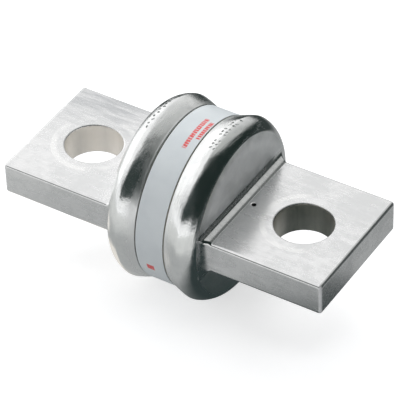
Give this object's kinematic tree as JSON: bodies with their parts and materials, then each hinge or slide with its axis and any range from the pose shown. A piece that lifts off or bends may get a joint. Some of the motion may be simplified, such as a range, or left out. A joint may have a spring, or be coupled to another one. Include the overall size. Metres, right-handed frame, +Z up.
{
  "type": "class t fuse",
  "caption": "Bolt-in power fuse: plated bells with drilled flat blades, swaged onto a short labelled insulating tube.",
  "frame": {"origin": "centre of the fuse, on the tube's axis and midway between the bells", "axes": "+X along the fuse towards the load terminal, +Y across the blades, +Z up and square to the blades' flat faces"},
  "size_m": [0.0778, 0.041, 0.041],
  "materials": {
    "silver_plated_metal": "satin to polished silver plating over copper",
    "glass_melamine": "dark moulded glass-melamine, satin",
    "label_film": "pale blue-grey printed film, satin",
    "vulcanised_fibre": "matt brown-grey fibre board",
    "quartz_sand": "packed pale quartz sand",
    "silver_ribbon": "bright rolled silver strip",
    "plug_steel": "plain steel"
  },
  "bodies": {
    "root": {"load_terminal": "silver_plated_metal", "line_terminal": "silver_plated_metal", "casing_tube": "glass_melamine", "label_wrap": "label_film", "load_end_washer": "vulcanised_fibre", "line_end_washer": "vulcanised_fibre", "sand_filler": "quartz_sand", "filler_plug": "plug_steel", "fuse_element_01": "silver_ribbon", "fuse_element_02": "silver_ribbon", "fuse_element_03": "silver_ribbon", "fuse_element_04": "silver_ribbon", "fuse_element_05": "silver_ribbon", "fuse_element_06": "silver_ribbon", "fuse_element_07": "silver_ribbon", "fuse_element_08": "silver_ribbon", "fuse_element_09": "silver_ribbon", "fuse_element_10": "silver_ribbon"}
  },
  "joints": []
}
